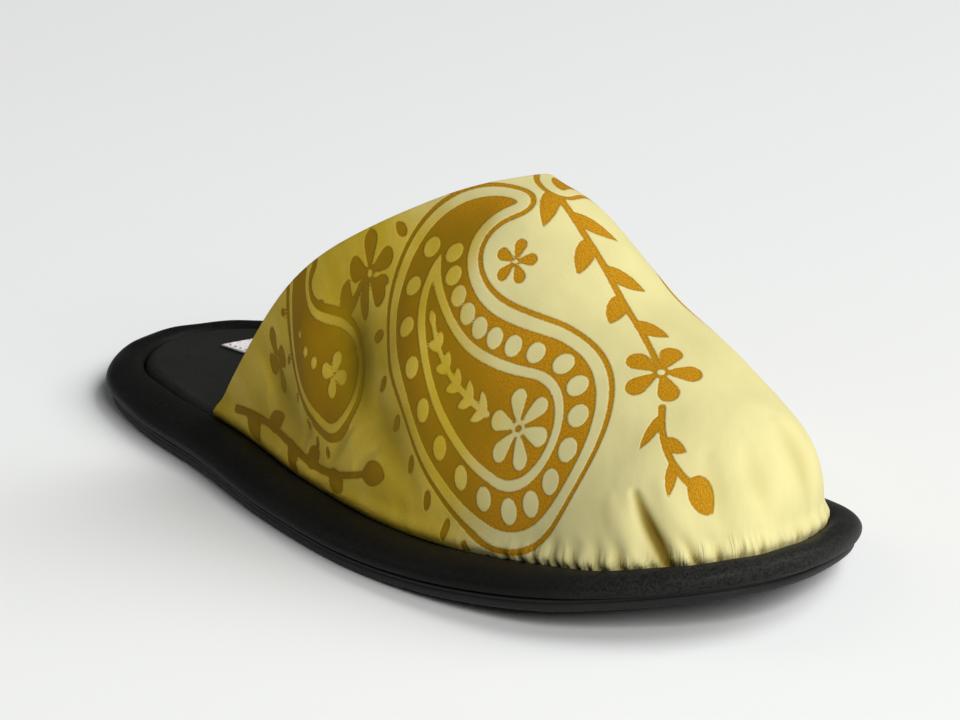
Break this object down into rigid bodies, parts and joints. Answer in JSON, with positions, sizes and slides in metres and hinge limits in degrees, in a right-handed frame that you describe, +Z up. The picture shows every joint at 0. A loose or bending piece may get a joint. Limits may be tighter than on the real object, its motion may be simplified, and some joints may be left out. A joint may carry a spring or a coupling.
{
  "type": "closed-toe backless house slipper",
  "caption": "Backless closed-toe house slipper, right shoe: hollow brocade upper with slanted collar on a padded, fabric-bound sole.",
  "frame": {"origin": "on the ground under the middle of the slipper's box", "axes": "+X from heel to toe, +Y to the inner (medial) side of the foot, +Z up"},
  "size_m": [0.275, 0.1034, 0.0791],
  "materials": {
    "outsole": "matt moulded rubber",
    "insole": "matt brushed fabric",
    "binding": "smooth woven fabric over padding",
    "upper": "two-tone satin brocade",
    "label": "woven satin"
  },
  "bodies": {
    "root": {"outsole": "outsole", "insole": "insole", "edge_binding": "binding", "upper": "upper", "insole_label": "label"}
  },
  "joints": []
}
